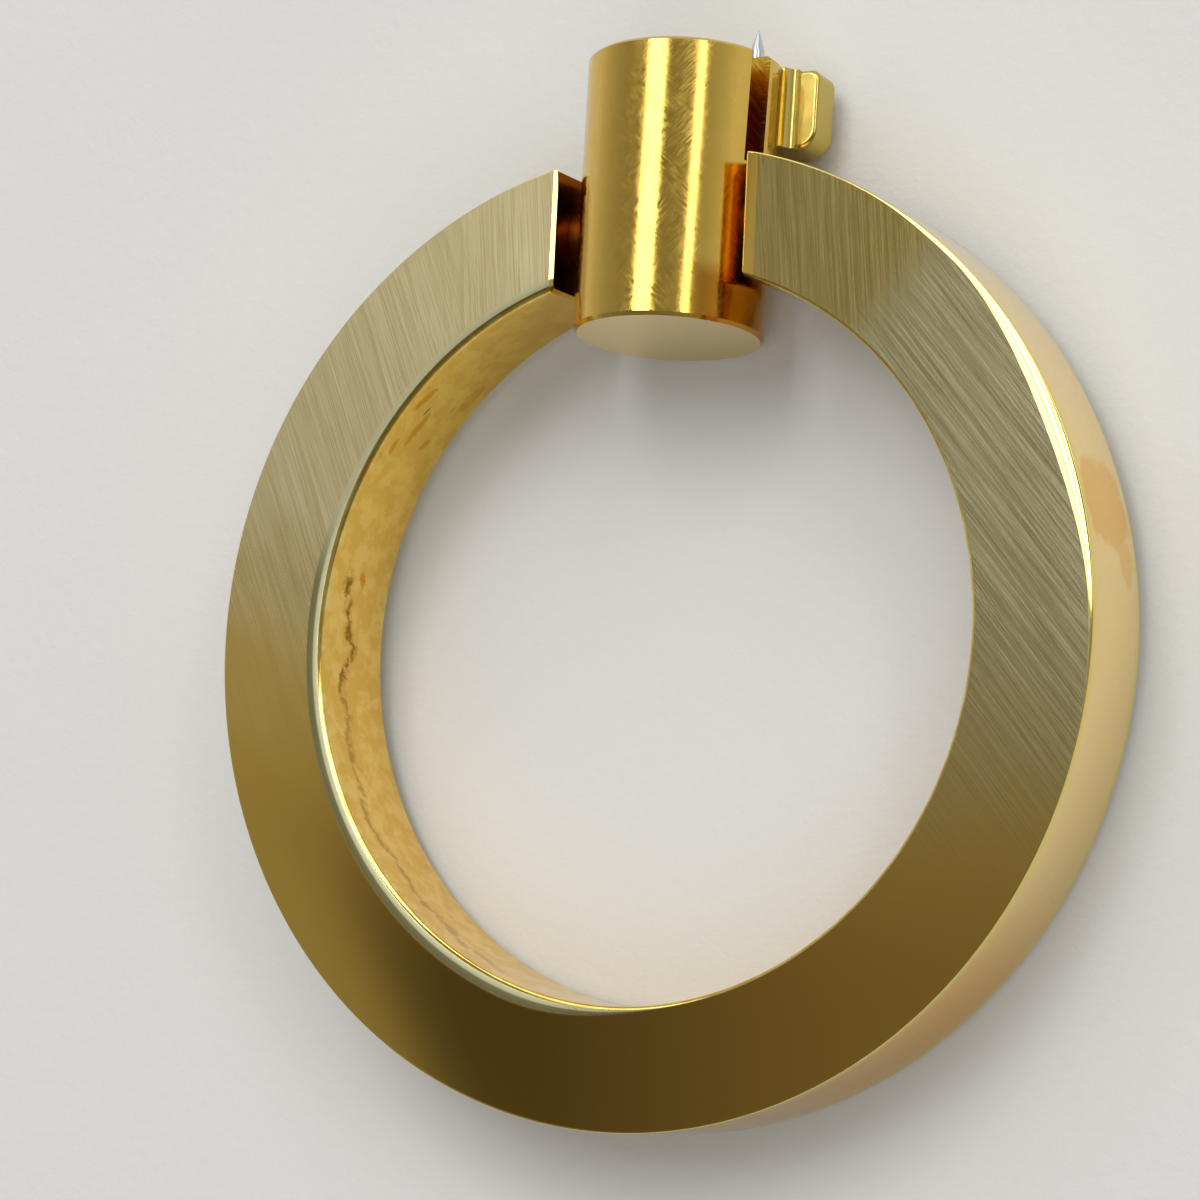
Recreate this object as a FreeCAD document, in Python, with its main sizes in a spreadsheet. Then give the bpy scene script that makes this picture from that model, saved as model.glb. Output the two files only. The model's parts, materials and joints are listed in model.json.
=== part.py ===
import FreeCAD, Part
import os

import Sketcher
from FreeCAD import Placement, Rotation, Vector

# A brass ring pull for a drawer or cabinet door, in millimetres. A round post is
# screwed to the drawer front from behind, and a heavy flat ring swings on a pin
# through the post. The pull lies loose on a flat surface, before it is fitted.
# The origin is the centre of the post's mounting face. +Y points into the drawer
# front, X runs along the pivot pin and +Z points up from the surface.

SIZES = [
    ("ring_diameter", 80.0, "ring, outside diameter"),
    ("ring_band", 10.0, "ring, width of the flat face"),
    ("ring_thickness", 9.5, "ring, front face to back face"),
    ("ring_outer_round", 0.4, "ring, rounding of the outer edges"),
    ("ring_inner_round", 1.0, "ring, rounding of the inner edges"),
    ("ring_end_round", 0.25, "ring, rounding round the two end faces"),
    ("ring_side_gap", 0.66, "gap between the post's wide end and each ring end"),
    ("post_back_diameter", 16.4, "post, diameter at the mounting face"),
    ("post_front_diameter", 15.8, "post, diameter at the front face"),
    ("post_length", 23.3, "post, mounting face to front face"),
    ("post_back_break", 0.25, "post, broken edge at the mounting face"),
    ("post_front_break", 0.3, "post, broken edge at the front face"),
    ("pin_setback", 14.35, "mounting face to the axis of the pin"),
    ("pin_diameter", 4.8, "pivot pin, diameter"),
    ("pin_reach", 4.8, "pivot pin, length held in each end of the ring"),
    ("pin_chamfer", 0.4, "pivot pin, chamfer at each end"),
    ("pin_play", 0.05, "running clearance of the pin in the ring, on the radius"),
    ("pin_end_play", 0.4, "room past each end of the pin in its bore"),
    ("screw_tap_diameter", 3.3, "fixing hole, tapping size for an M4 screw"),
    ("screw_depth", 9.0, "fixing hole, depth of its straight wall"),
    ("screw_drill_point", 1.0, "fixing hole, depth of the drill's point"),
    ("groove_ledge_height", 0.55, "side groove, its ledge above the pin's level"),
    ("groove_width", 2.3, "side groove, ledge to upper wall"),
    ("groove_depth", 2.6, "side groove, depth into the post's side"),
    ("groove_length", 9.5, "side groove, length from the mounting face"),
    ("spike_diameter", 1.2, "locating spike, diameter"),
    ("spike_inset", 1.8, "locating spike, axis in from the post's side"),
    ("spike_drop", 0.35, "locating spike, axis below the pin's level"),
    ("spike_seat", 6.0, "locating spike, length sunk in the post"),
    ("spike_projection", 2.65, "locating spike, length that stands out"),
    ("spike_point", 1.8, "locating spike, length of its cone"),
    ("spike_tip_diameter", 0.1, "locating spike, blunt end of its cone"),
    ("lug_overhang", 2.45, "side lug, reach past the post's side"),
    ("lug_tuck", 3.2, "side lug, reach in under the post's side"),
    ("lug_length", 6.8, "side lug, length from the mounting face"),
    ("lug_face_height", 4.6, "side lug, its flat face above the post's underside"),
    ("lug_thickness", 3.5, "side lug, flat face to back"),
    ("lug_land", 1.8, "side lug, width of its flat face"),
    ("lug_rear_corner_round", 0.95, "side lug, outer corner at the mounting face"),
    ("lug_front_corner_round", 1.7, "side lug, outer corner near the ring"),
    ("lug_face_round", 0.4, "side lug, rounding round its flat face"),
    ("lug_back_round", 0.85, "side lug, rounding round its back"),
    ("cove_radius", 1.1, "cove between the post and the lug's face"),
    ("cove_offset", 0.3, "cove, its centre out from the flat face's inner line"),
    ("cove_ridge", 0.2, "cove, lowest line above the flat face"),
]

doc = FreeCAD.newDocument("RingPull")
sheet = doc.addObject("Spreadsheet::Sheet", "Sizes")
for row, (alias, value, meaning) in enumerate(SIZES, start=1):
    sheet.set(f"A{row}", meaning)
    sheet.set(f"B{row}", str(value))
    sheet.setAlias(f"B{row}", alias)
doc.recompute()

# Lengths that follow from the driving sizes, as formulas of the document.
RING_OUTER = "Sizes.ring_diameter / 2"
RING_INNER = "(Sizes.ring_diameter / 2 - Sizes.ring_band)"
RING_HALF = "Sizes.ring_thickness / 2"
POST_RADIUS = "(Sizes.post_back_diameter / 2)"
POST_FRONT_RADIUS = "(Sizes.post_front_diameter / 2)"
END_FACE = f"({POST_RADIUS} + Sizes.ring_side_gap)"
MID_BAND = "((Sizes.ring_diameter - Sizes.ring_band) / 2)"
PIVOT_RADIUS = f"sqrt({MID_BAND}^2 - {END_FACE}^2)"
SPIKE_ACROSS = f"({POST_RADIUS} - Sizes.spike_inset)"

# Half the post's section, without its broken edges.
POST_FLANK = [
    ("0", "0"),
    (POST_RADIUS, "0"),
    (POST_FRONT_RADIUS, "-Sizes.post_length"),
    ("0", "-Sizes.post_length"),
]

# The ring hangs from the pin until the far edge of its back meets the surface, level
# with the underside of the post. Seen from the side, that edge is a small circle at
# EDGE_OUT along the ring and EDGE_DOWN below its middle.
EDGE_OUT = f"({PIVOT_RADIUS} + {RING_OUTER} - Sizes.ring_outer_round)"
EDGE_DOWN = f"({RING_HALF} - Sizes.ring_outer_round)"
EDGE_DROP = f"({POST_RADIUS} - Sizes.ring_outer_round)"
EDGE_REACH = f"sqrt({EDGE_OUT}^2 + {EDGE_DOWN}^2)"
RING_DROOP = f"asin({EDGE_DROP} / {EDGE_REACH}) - atan({EDGE_DOWN} / {EDGE_OUT})"

# A sketch is drawn at any size first, and its formulas then give the true one.
DRAFT_SIZE = 5.0

# An edge is found by points along it, which lie on a face or a line of the piece.
EDGE_POINTS = 5
SAME_PLACE = 1e-4


def origin_plane(body, role):
    """One of the body's own three origin planes."""
    for feature in body.Origin.OriginFeatures:
        if feature.Role == role:
            return feature
    raise RuntimeError(f"{body.Label} has no {role}")


def new_body(label):
    body = doc.addObject("PartDesign::Body", label)
    body.Label = label
    return body


def new_sketch(body, role, name):
    sketch = body.newObject("Sketcher::SketchObject", name)
    sketch.AttachmentSupport = (origin_plane(body, role), [""])
    sketch.MapMode = "FlatFace"
    return sketch


def bind(sketch, kind, picks, name, formula):
    """Add one dimension to a sketch and tie it to a formula."""
    index = sketch.addConstraint(Sketcher.Constraint(kind, *picks, DRAFT_SIZE))
    sketch.renameConstraint(index, name)
    sketch.setExpression(f"Constraints.{name}", formula)


def pin_point(sketch, geometry, point, across, up, name):
    """Hold a sketch point at a place; a formula of 0 puts it on the axis."""
    if across == "0":
        sketch.addConstraint(Sketcher.Constraint("PointOnObject", geometry, point, -2))
    else:
        bind(sketch, "DistanceX", (-1, 1, geometry, point), f"{name}_across", across)
    if up == "0":
        sketch.addConstraint(Sketcher.Constraint("PointOnObject", geometry, point, -1))
    else:
        bind(sketch, "DistanceY", (-1, 1, geometry, point), f"{name}_up", up)


def outline(sketch, corners):
    """Draw a closed outline through corners given as pairs of formulas."""
    count = len(corners)
    turns = [Rotation(Vector(0, 0, 1), 360 * i / count) for i in range(count)]
    points = [turn.multVec(Vector(DRAFT_SIZE, 0, 0)) for turn in turns]
    for i in range(count):
        sketch.addGeometry(Part.LineSegment(points[i], points[(i + 1) % count]))
    for i in range(count):
        follower = (i + 1) % count
        sketch.addConstraint(Sketcher.Constraint("Coincident", i, 2, follower, 1))
    for i, (across, up) in enumerate(corners):
        pin_point(sketch, i, 1, across, up, f"corner{i}")


def circle(sketch, across, up, radius):
    start = Vector(DRAFT_SIZE, DRAFT_SIZE, 0)
    index = sketch.addGeometry(Part.Circle(start, Vector(0, 0, 1), DRAFT_SIZE))
    pin_point(sketch, index, 3, across, up, f"centre{index}")
    bind(sketch, "Radius", (index,), f"radius{index}", radius)


def turned(body, kind, sketch, name):
    """Turn a sketch round its vertical axis, as a Revolution or a Groove."""
    feature = body.newObject(f"PartDesign::{kind}", name)
    feature.Profile = sketch
    feature.ReferenceAxis = (sketch, ["V_Axis"])
    feature.Angle = 360
    sketch.Visibility = False
    doc.recompute()
    return feature


def padded(body, sketch, name, length, midplane=False):
    feature = body.newObject("PartDesign::Pad", name)
    feature.Profile = sketch
    feature.Midplane = midplane
    feature.setExpression("Length", length)
    doc.recompute()
    return feature


def pocketed(body, sketch, name, length=None, midplane=False):
    """Cut a sketch into the body, and make sure that it took metal away."""
    before = body.Shape.Volume
    feature = body.newObject("PartDesign::Pocket", name)
    feature.Profile = sketch
    feature.Midplane = midplane
    if length is None:
        feature.Type = "ThroughAll"
    else:
        feature.setExpression("Length", length)
    doc.recompute()
    if feature.Shape.Volume >= before:
        raise RuntimeError(f"{name} cuts nothing")
    return feature


def edges_where(feature, test, leave_out=lambda point: False):
    """Names of the feature's edges that pass the test all along, but for some."""
    names = []
    for number, edge in enumerate(feature.Shape.Edges, start=1):
        points = edge.discretize(EDGE_POINTS)
        passes = all(test(point) for point in points)
        if passes and not all(leave_out(point) for point in points):
            names.append(f"Edge{number}")
    if not names:
        raise RuntimeError(f"{feature.Label} has no such edge")
    return names


def softened(body, base, kind, edges, name, formula):
    """Round or chamfer the named edges of a feature."""
    feature = body.newObject(f"PartDesign::{kind}", name)
    feature.Base = (base, edges)
    size_of = {"Fillet": "Radius", "Chamfer": "Size"}
    feature.setExpression(size_of[kind], formula)
    doc.recompute()
    return feature


def near(value, target):
    return abs(value - target) < SAME_PLACE


def cell(alias):
    return float(sheet.get(alias))


def make_post():
    """The turned post, with its fixing hole, cross bore, groove and spike hole."""
    body = new_body("post")
    profile = new_sketch(body, "XY_Plane", "post_profile")
    back_edge = f"{POST_RADIUS} - Sizes.post_back_break"
    front_edge = f"{POST_FRONT_RADIUS} - Sizes.post_front_break"
    outline(
        profile,
        [
            ("0", "0"),
            (back_edge, "0"),
            (POST_RADIUS, "-Sizes.post_back_break"),
            (POST_FRONT_RADIUS, "-Sizes.post_length + Sizes.post_front_break"),
            (front_edge, "-Sizes.post_length"),
            ("0", "-Sizes.post_length"),
        ],
    )
    turned(body, "Revolution", profile, "post_turning")

    drill = new_sketch(body, "XY_Plane", "fixing_hole_profile")
    tap_radius = "Sizes.screw_tap_diameter / 2"
    outline(
        drill,
        [
            ("0", "0"),
            (tap_radius, "0"),
            (tap_radius, "-Sizes.screw_depth"),
            ("0", "-Sizes.screw_depth - Sizes.screw_drill_point"),
        ],
    )
    turned(body, "Groove", drill, "fixing_hole")

    bore = new_sketch(body, "YZ_Plane", "pin_bore_circle")
    circle(bore, "-Sizes.pin_setback", "0", "Sizes.pin_diameter / 2")
    pocketed(body, bore, "pin_bore", midplane=True)

    groove = new_sketch(body, "XZ_Plane", "side_groove_section")
    floor = f"{POST_RADIUS} - Sizes.groove_depth"
    outside = f"{POST_RADIUS} + Sizes.groove_depth"
    ledge = "Sizes.groove_ledge_height"
    lip = "Sizes.groove_ledge_height + Sizes.groove_width"
    outline(groove, [(floor, ledge), (outside, ledge), (outside, lip), (floor, lip)])
    pocketed(body, groove, "side_groove", "2 * Sizes.groove_length", midplane=True)

    seat = new_sketch(body, "XZ_Plane", "spike_hole_circle")
    circle(seat, SPIKE_ACROSS, "-Sizes.spike_drop", "Sizes.spike_diameter / 2")
    pocketed(body, seat, "spike_hole", "2 * Sizes.spike_seat", midplane=True)
    return body


def make_pin():
    """The pivot pin, pressed through the post; the ring turns on its two ends."""
    body = new_body("pivot_pin")
    section = new_sketch(body, "YZ_Plane", "pin_circle")
    circle(section, "-Sizes.pin_setback", "0", "Sizes.pin_diameter / 2")
    length = f"2 * ({END_FACE} + Sizes.pin_reach)"
    rod = padded(body, section, "pin_rod", length, midplane=True)
    ends = edges_where(rod, lambda point: near(abs(point.x), rod.Shape.BoundBox.XMax))
    softened(body, rod, "Chamfer", ends, "pin_ends", "Sizes.pin_chamfer")
    return body


def make_ring():
    """The flat ring: turned, sawn open for the post, and bored for the pin."""
    body = new_body("ring")
    section = new_sketch(body, "XZ_Plane", "ring_section")
    half = RING_HALF
    low = f"-{RING_HALF}"
    outline(
        section,
        [(RING_INNER, low), (RING_OUTER, low), (RING_OUTER, half), (RING_INNER, half)],
    )
    turning = turned(body, "Revolution", section, "ring_turning")

    outer = cell("ring_diameter") / 2
    inner = outer - cell("ring_band")
    outer_rims = edges_where(turning, lambda point: near(point.x**2 + point.y**2, outer**2)
                             and near(abs(point.z), cell("ring_thickness") / 2))
    rounded = softened(body, turning, "Fillet", outer_rims, "outer_rounding",
                       "Sizes.ring_outer_round")
    inner_rims = edges_where(rounded, lambda point: near(point.x**2 + point.y**2, inner**2)
                             and near(abs(point.z), cell("ring_thickness") / 2))
    softened(body, rounded, "Fillet", inner_rims, "inner_rounding",
             "Sizes.ring_inner_round")

    saw = new_sketch(body, "XY_Plane", "gap_outline")
    far = "Sizes.ring_diameter"
    outline(saw, [(f"-{END_FACE}", "0"), (END_FACE, "0"), (END_FACE, far), (f"-{END_FACE}", far)])
    gap = pocketed(body, saw, "ring_gap", midplane=True)

    end_x = cell("post_back_diameter") / 2 + cell("ring_side_gap")
    end_edges = edges_where(gap, lambda point: near(abs(point.x), end_x))
    softened(body, gap, "Fillet", end_edges, "end_rounding", "Sizes.ring_end_round")

    bore = new_sketch(body, "YZ_Plane", "ring_bore_circle")
    circle(bore, PIVOT_RADIUS, "0", "Sizes.pin_diameter / 2 + Sizes.pin_play")
    depth = f"2 * ({END_FACE} + Sizes.pin_reach + Sizes.pin_end_play)"
    pocketed(body, bore, "ring_bores", depth, midplane=True)

    body.Placement = Placement(Vector(), Rotation(Vector(1, 0, 0), 1))
    body.setExpression("Placement.Rotation.Angle", RING_DROOP)
    body.setExpression("Placement.Base.y",
                       f"-Sizes.pin_setback - {PIVOT_RADIUS} * cos({RING_DROOP})")
    body.setExpression("Placement.Base.z", f"-{PIVOT_RADIUS} * sin({RING_DROOP})")
    doc.recompute()
    return body


def make_spike():
    """The steel spike that bites into the wood and stops the post from turning."""
    body = new_body("locating_spike")
    profile = new_sketch(body, "XY_Plane", "spike_profile")
    radius = "Sizes.spike_diameter / 2"
    outline(
        profile,
        [
            ("0", "-Sizes.spike_seat"),
            (radius, "-Sizes.spike_seat"),
            (radius, "Sizes.spike_projection - Sizes.spike_point"),
            ("Sizes.spike_tip_diameter / 2", "Sizes.spike_projection"),
            ("0", "Sizes.spike_projection"),
        ],
    )
    turned(body, "Revolution", profile, "spike_turning")
    body.setExpression("Placement.Base.x", SPIKE_ACROSS)
    body.setExpression("Placement.Base.z", "-Sizes.spike_drop")
    doc.recompute()
    return body


def make_lug():
    """The side lug, brazed to the post's back and flush with its mounting face."""
    body = new_body("side_lug")
    side = f"({POST_RADIUS} + Sizes.lug_overhang)"
    inner = f"({POST_RADIUS} - Sizes.lug_tuck)"
    face = f"(Sizes.lug_face_height - {POST_RADIUS})"
    back = f"({face} - Sizes.lug_thickness)"
    land = f"({side} - Sizes.lug_land)"
    cove_level = f"({face} + Sizes.cove_ridge + Sizes.cove_radius)"

    plate = new_sketch(body, "XZ_Plane", "lug_plate_section")
    outline(plate, [(inner, back), (side, back), (side, face), (inner, face)])
    slab = padded(body, plate, "lug_plate", "Sizes.lug_length")

    post_radius = cell("post_back_diameter") / 2
    side_x = post_radius + cell("lug_overhang")
    inner_x = post_radius - cell("lug_tuck")
    face_z = cell("lug_face_height") - post_radius
    back_z = face_z - cell("lug_thickness")
    front_y = -cell("lug_length")
    rear_corner = edges_where(
        slab, lambda point: near(point.x, side_x) and near(point.y, 0.0))
    half_rounded = softened(body, slab, "Fillet", rear_corner, "lug_rear_corner",
                            "Sizes.lug_rear_corner_round")
    front_corner = edges_where(
        half_rounded, lambda point: near(point.x, side_x) and near(point.y, front_y))
    rounded = softened(body, half_rounded, "Fillet", front_corner, "lug_front_corner",
                       "Sizes.lug_front_corner_round")
    face_rim = edges_where(
        rounded,
        lambda point: near(point.z, face_z),
        lambda point: near(point.x, inner_x),
    )
    eased = softened(body, rounded, "Fillet", face_rim, "lug_face_rim",
                     "Sizes.lug_face_round")
    back_rim = edges_where(
        eased,
        lambda point: near(point.z, back_z),
        lambda point: near(point.x, inner_x),
    )
    softened(body, eased, "Fillet", back_rim, "lug_back_rim", "Sizes.lug_back_round")

    stock = new_sketch(body, "XZ_Plane", "cove_stock_section")
    outline(stock, [(inner, back), (land, back), (land, cove_level), (inner, cove_level)])
    padded(body, stock, "cove_stock", "Sizes.lug_length")

    cove = new_sketch(body, "XZ_Plane", "cove_circle")
    circle(cove, f"{land} + Sizes.cove_offset", cove_level, "Sizes.cove_radius")
    pocketed(body, cove, "cove", midplane=True)

    before = body.Shape.Volume
    seat = new_sketch(body, "XY_Plane", "lug_seat_profile")
    outline(seat, POST_FLANK)
    hollow = turned(body, "Groove", seat, "lug_seat")
    if hollow.Shape.Volume >= before:
        raise RuntimeError("lug_seat cuts nothing")
    return body


def check_document():
    """Stop if any object of the document failed or has no sound shape."""
    for item in doc.Objects:
        if "Invalid" in item.State or "Error" in item.State:
            raise RuntimeError(f"{item.Label} is {item.State}")
        if item.isDerivedFrom("Part::Feature") and not item.Shape.isNull():
            if not item.Shape.isValid():
                raise RuntimeError(f"{item.Label} has an unsound shape")


def export(pieces):
    os.makedirs("parts", exist_ok=True)
    for piece in pieces:
        shape = piece.Shape
        if shape.isNull() or not shape.isValid() or len(shape.Solids) != 1:
            raise RuntimeError(f"{piece.Label} is not one sound solid")
        shape.exportStep(f"parts/{piece.Label}.step")
        box = shape.BoundBox
        print(f"{piece.Label}: {shape.Volume:.2f} mm3, X {box.XMin:.2f} to {box.XMax:.2f},"
              f" Y {box.YMin:.2f} to {box.YMax:.2f}, Z {box.ZMin:.2f} to {box.ZMax:.2f}")


pieces = [make_post(), make_pin(), make_ring(), make_spike(), make_lug()]
doc.recompute()
check_document()
export(pieces)
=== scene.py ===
import json
import math
import bmesh
import bpy
from mathutils import Matrix, Vector


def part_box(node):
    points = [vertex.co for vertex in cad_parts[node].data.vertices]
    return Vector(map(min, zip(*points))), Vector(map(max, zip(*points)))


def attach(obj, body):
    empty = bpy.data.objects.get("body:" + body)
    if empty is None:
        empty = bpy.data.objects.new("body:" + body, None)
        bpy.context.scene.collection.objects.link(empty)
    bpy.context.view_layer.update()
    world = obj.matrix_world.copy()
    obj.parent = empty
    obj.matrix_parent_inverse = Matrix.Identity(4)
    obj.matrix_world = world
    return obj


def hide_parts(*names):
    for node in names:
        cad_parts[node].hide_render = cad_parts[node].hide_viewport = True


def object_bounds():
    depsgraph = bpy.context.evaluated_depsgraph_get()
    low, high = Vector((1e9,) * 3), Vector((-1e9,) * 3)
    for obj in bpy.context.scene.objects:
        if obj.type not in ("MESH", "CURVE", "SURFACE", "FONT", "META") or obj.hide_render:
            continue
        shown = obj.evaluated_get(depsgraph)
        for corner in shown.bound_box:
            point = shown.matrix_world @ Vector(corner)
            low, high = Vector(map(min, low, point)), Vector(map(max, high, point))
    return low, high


# A brass ring pull for a drawer front, lying loose on a pale sheet before it is fitted.
# Sections follow the order in which it is put together: post, pin, spike, side lug, ring.

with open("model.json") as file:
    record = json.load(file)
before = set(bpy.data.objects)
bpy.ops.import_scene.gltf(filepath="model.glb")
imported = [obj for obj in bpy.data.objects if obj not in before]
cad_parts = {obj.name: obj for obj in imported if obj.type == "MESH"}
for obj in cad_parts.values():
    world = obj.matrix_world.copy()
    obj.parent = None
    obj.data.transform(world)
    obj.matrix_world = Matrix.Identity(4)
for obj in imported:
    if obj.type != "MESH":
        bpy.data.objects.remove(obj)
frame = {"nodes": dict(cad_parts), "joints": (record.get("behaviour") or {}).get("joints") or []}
cad_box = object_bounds()
scene = bpy.context.scene
MM = 0.001


# POST
# A turned brass post, polished on a lathe and lapped by hand to a fine satin. It is
# screwed to the drawer front from behind. A groove is milled along its right side.

POST_BRASS = (0.73, 0.475, 0.078, 1.0)
SATIN_BRASS = (0.86, 0.70, 0.37, 1.0)
POST_BRASS_PALE = (0.78, 0.535, 0.13, 1.0)
GROOVE_BRASS = (0.74, 0.49, 0.06, 1.0)
GROOVE_SHADE_BROWN = (0.38, 0.13, 0.02, 1.0)
REFLECTED_ORANGE_BRASS = (0.50, 0.21, 0.02, 1.0)
POST_BACK_RADIUS = 8.2 * MM
POST_TAPER = 0.3 / 23.3
LAP_ANGLES = (math.radians(-48), math.radians(40))
LAP_SPACING = 0.11 * MM
LAP_LENGTH = 1.4 * MM
LAP_DEPTH = 0.0015 * MM
FILE_SPACING = 0.3 * MM
FILE_LENGTH = 3.0 * MM
FILE_ANGLE = math.radians(-40)
FILE_DEPTH_RATIO = 2.2
# Painted shade: the groove is painted brown from here on towards the ring, where it lies deep in the
# recess.
GROOVE_UNSHADED_TO = -0.5 * MM
GROOVE_SHADE_FROM = -6.0 * MM
END_MARKS_ANGLE = math.radians(70)
END_MARKS_SPACING = 0.12 * MM
END_MARKS_LENGTH = 2.0 * MM
POST_ROUGHNESS = (0.07, 0.24)
GROOVE_ROUGHNESS = 0.22
END_ROUGHNESS = (0.26, 0.4)
# Painted reflection: the side is painted orange at the front right, where it faces the ring's shaded
# end: across from the axis, and along it.
REFLECTION_ACROSS = (4.6 * MM, 6.0 * MM)
REFLECTION_ALONG = (-18.0 * MM, -20.0 * MM)
REFLECTION_SHARE = 0.92


def node(tree, kind, **settings):
    """Add one shader node and set its own settings."""
    made = tree.nodes.new(kind)
    for name, value in settings.items():
        setattr(made, name, value)
    return made


def feed(tree, target, source):
    """Link a source socket to a target, or set the target to a plain value."""
    if isinstance(source, bpy.types.NodeSocket):
        tree.links.new(source, target)
    else:
        target.default_value = source


def maths(tree, operation, first, second=0.0, third=0.0, clamp=False):
    made = node(tree, "ShaderNodeMath", operation=operation, use_clamp=clamp)
    for socket, source in zip(made.inputs, (first, second, third)):
        feed(tree, socket, source)
    return made.outputs["Value"]


def step_between(tree, value, low, high):
    """0 below low, 1 above high, and smooth in between."""
    made = node(tree, "ShaderNodeMapRange", interpolation_type="SMOOTHSTEP")
    feed(tree, made.inputs["Value"], value)
    feed(tree, made.inputs["From Min"], low)
    feed(tree, made.inputs["From Max"], high)
    return made.outputs["Result"]


def spread(tree, value, low, high):
    """Spread a mask of 0 to 1 over low to high."""
    made = node(tree, "ShaderNodeMapRange")
    feed(tree, made.inputs["Value"], value)
    feed(tree, made.inputs["To Min"], low)
    feed(tree, made.inputs["To Max"], high)
    return made.outputs["Result"]


def blend_colours(tree, share, first, second):
    made = node(tree, "ShaderNodeMix", data_type="RGBA")
    feed(tree, made.inputs["Factor"], share)
    feed(tree, made.inputs["A"], first)
    feed(tree, made.inputs["B"], second)
    return made.outputs["Result"]


def float_mix(tree, share, first, second):
    made = node(tree, "ShaderNodeMix", data_type="FLOAT")
    feed(tree, made.inputs["Factor"], share)
    feed(tree, made.inputs["A"], first)
    feed(tree, made.inputs["B"], second)
    return made.outputs["Result"]


def blob_noise(tree, place, scale, detail=2.0, roughness=0.5):
    made = node(tree, "ShaderNodeTexNoise")
    feed(tree, made.inputs["Vector"], place)
    made.inputs["Scale"].default_value = scale
    made.inputs["Detail"].default_value = detail
    made.inputs["Roughness"].default_value = roughness
    return made.outputs["Fac"]


def bump(tree, height, distance, normal=None, strength=1.0):
    made = node(tree, "ShaderNodeBump")
    feed(tree, made.inputs["Height"], height)
    made.inputs["Distance"].default_value = distance
    made.inputs["Strength"].default_value = strength
    if normal is not None:
        feed(tree, made.inputs["Normal"], normal)
    return made.outputs["Normal"]


def new_group(name, inputs, outputs):
    """A shader node group with named sockets, given as (name, type, value)."""
    group = bpy.data.node_groups.new(name, "ShaderNodeTree")
    for socket_name, kind, value in inputs:
        socket = group.interface.new_socket(socket_name, in_out="INPUT", socket_type=kind)
        if value is not None:
            socket.default_value = value
    for socket_name, kind in outputs:
        group.interface.new_socket(socket_name, in_out="OUTPUT", socket_type=kind)
    given = group.nodes.new("NodeGroupInput").outputs
    result = group.nodes.new("NodeGroupOutput").inputs
    return group, given, result


def placed_group(tree, group, **values):
    """Place a group in a material; a keyword's underscores are the socket's spaces."""
    made = node(tree, "ShaderNodeGroup", node_tree=group)
    for name, value in values.items():
        feed(tree, made.inputs[name.replace("_", " ")], value)
    return made.outputs


def make_hand_marks():
    """Parallel strokes left by a cloth, belt or file, seen along one plane."""
    group, given, result = new_group(
        "Hand marks",
        [("Place", "NodeSocketVector", None), ("Turn", "NodeSocketFloat", 0.0),
         ("Spacing", "NodeSocketFloat", 0.0002), ("Length", "NodeSocketFloat", 0.004)],
        [("Marks", "NodeSocketFloat")])
    turned = node(group, "ShaderNodeVectorRotate", rotation_type="Z_AXIS")
    feed(group, turned.inputs["Vector"], given["Place"])
    feed(group, turned.inputs["Angle"], given["Turn"])
    parts = node(group, "ShaderNodeSeparateXYZ")
    feed(group, parts.inputs["Vector"], turned.outputs["Vector"])
    packed = node(group, "ShaderNodeCombineXYZ")
    feed(group, packed.inputs["X"], maths(group, "DIVIDE", parts.outputs["X"], given["Spacing"]))
    feed(group, packed.inputs["Y"], maths(group, "DIVIDE", parts.outputs["Y"], given["Length"]))
    feed(group, packed.inputs["Z"], maths(group, "DIVIDE", parts.outputs["Z"], given["Length"]))
    feed(group, result["Marks"], blob_noise(group, packed.outputs["Vector"], 1.0, 3.0, 0.65))
    return group


def make_tarnish():
    """Uneven stains: a mask that is 1 in the middle of each blotch."""
    group, given, result = new_group(
        "Tarnish",
        [("Place", "NodeSocketVector", None), ("Size", "NodeSocketFloat", 0.002),
         ("Cover", "NodeSocketFloat", 0.4)],
        [("Stain", "NodeSocketFloat")])
    grown = node(group, "ShaderNodeVectorMath", operation="DIVIDE")
    feed(group, grown.inputs[0], given["Place"])
    sizes = node(group, "ShaderNodeCombineXYZ")
    for axis in "XYZ":
        feed(group, sizes.inputs[axis], given["Size"])
    feed(group, grown.inputs[1], sizes.outputs["Vector"])
    cloud = blob_noise(group, grown.outputs["Vector"], 1.0, 4.0, 0.6)
    edge = maths(group, "SUBTRACT", 1.0, given["Cover"])
    soft_edge = maths(group, "ADD", edge, 0.2)
    feed(group, result["Stain"], step_between(group, cloud, edge, soft_edge))
    return group


HAND_MARKS = make_hand_marks()
TARNISH = make_tarnish()


def metal_material(name, colour, roughness):
    """A metallic material, with its tree, its shader and the place on the piece."""
    material = bpy.data.materials.new(name)
    material.use_nodes = True
    tree = material.node_tree
    shader = tree.nodes["Principled BSDF"]
    shader.inputs["Metallic"].default_value = 1.0
    shader.inputs["Base Color"].default_value = colour
    shader.inputs["Roughness"].default_value = roughness
    place = node(tree, "ShaderNodeTexCoord").outputs["Object"]
    return material, tree, shader, place


def wear(piece, material):
    """Give a piece one material all over."""
    piece.data.materials.clear()
    piece.data.materials.append(material)


def xyz(tree, vector):
    made = node(tree, "ShaderNodeSeparateXYZ")
    feed(tree, made.inputs["Vector"], vector)
    return made.outputs["X"], made.outputs["Y"], made.outputs["Z"]


def rolled_out(tree, place, radius):
    """Unroll the post's side: X round the side, Y along the post, in metres."""
    across, along, up = xyz(tree, place)
    flat = node(tree, "ShaderNodeCombineXYZ")
    feed(tree, flat.inputs["X"], maths(tree, "MULTIPLY", maths(tree, "ARCTAN2", across, up), radius))
    feed(tree, flat.inputs["Y"], along)
    return flat.outputs["Vector"]


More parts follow.
